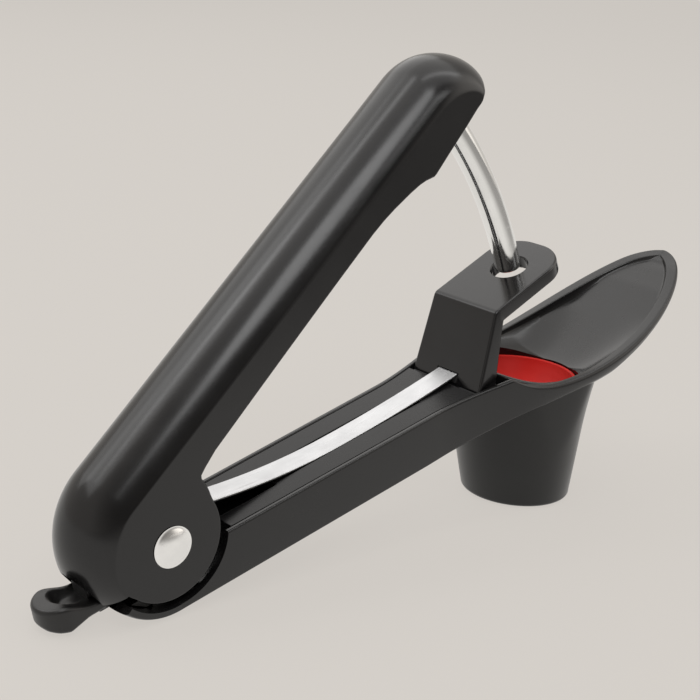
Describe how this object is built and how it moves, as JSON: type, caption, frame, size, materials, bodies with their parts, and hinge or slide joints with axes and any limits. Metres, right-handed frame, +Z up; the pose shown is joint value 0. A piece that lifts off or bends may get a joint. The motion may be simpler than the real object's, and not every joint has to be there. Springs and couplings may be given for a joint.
{
  "type": "cherry pitter",
  "caption": "Hand-held cherry pitter: sprung upper handle drives a curved plunger through a guide bracket, a soft seat in a scoop and a pit cup, with a thumb latch that locks it closed",
  "frame": {"origin": "on the table, half way along the tool between the thumb tab's end and the scoop's tip, on its middle plane", "axes": "+X runs level from the pivot end towards the scoop, +Z is up, +Y is the side away from the domed pin head in the picture; the tool stands on its cup's foot and its heel"},
  "size_m": [0.1706, 0.0324, 0.0994],
  "materials": {
    "black_plastic": "satin black moulding with soft sheen",
    "handle_plastic": "glossy black back, finer satin cheeks",
    "deck_plastic": "glossy dark grey-black inlay",
    "bracket_plastic": "satin black moulding",
    "cup_plastic": "satin black moulding with a dull sheen",
    "latch_plastic": "satin black moulding, polished by the thumb",
    "red_silicone": "soft satin red silicone",
    "polished_steel": "bright polished stainless steel",
    "spring_steel": "bright rolled strip, brushed lengthways",
    "fastener_steel": "plain zinc-grey steel"
  },
  "bodies": {
    "frame": {"lower_arm": "black_plastic", "deck_plate": "deck_plastic", "guide_bracket": "bracket_plastic", "bracket_screws": "fastener_steel", "leaf_spring": "spring_steel", "pit_cup": "cup_plastic", "cherry_seat": "red_silicone", "pivot_pin": "polished_steel", "pivot_cap": "polished_steel", "pivot_washers": "fastener_steel", "pivot_sleeve": "fastener_steel", "latch_screw": "fastener_steel"},
    "handle": {"handle_shell": "handle_plastic", "plunger_rod": "polished_steel", "rod_set_screw": "fastener_steel"},
    "latch": {"lock_latch": "latch_plastic"}
  },
  "joints": [
    {"name": "handle_hinge", "type": "hinge", "parent": "frame", "child": "handle", "pos_m": [-0.06223, 0, 0.0144], "axis": [0, 1, 0], "range_deg": [0, 23], "stiffness_Nm_per_rad": 1.6, "springref_deg": -17.19, "deforming": ["leaf_spring"]},
    {"name": "latch_slide", "type": "slide", "parent": "frame", "child": "latch", "axis": [0.9686, 0, 0.2487], "range_m": [0, 0.0045]}
  ]
}
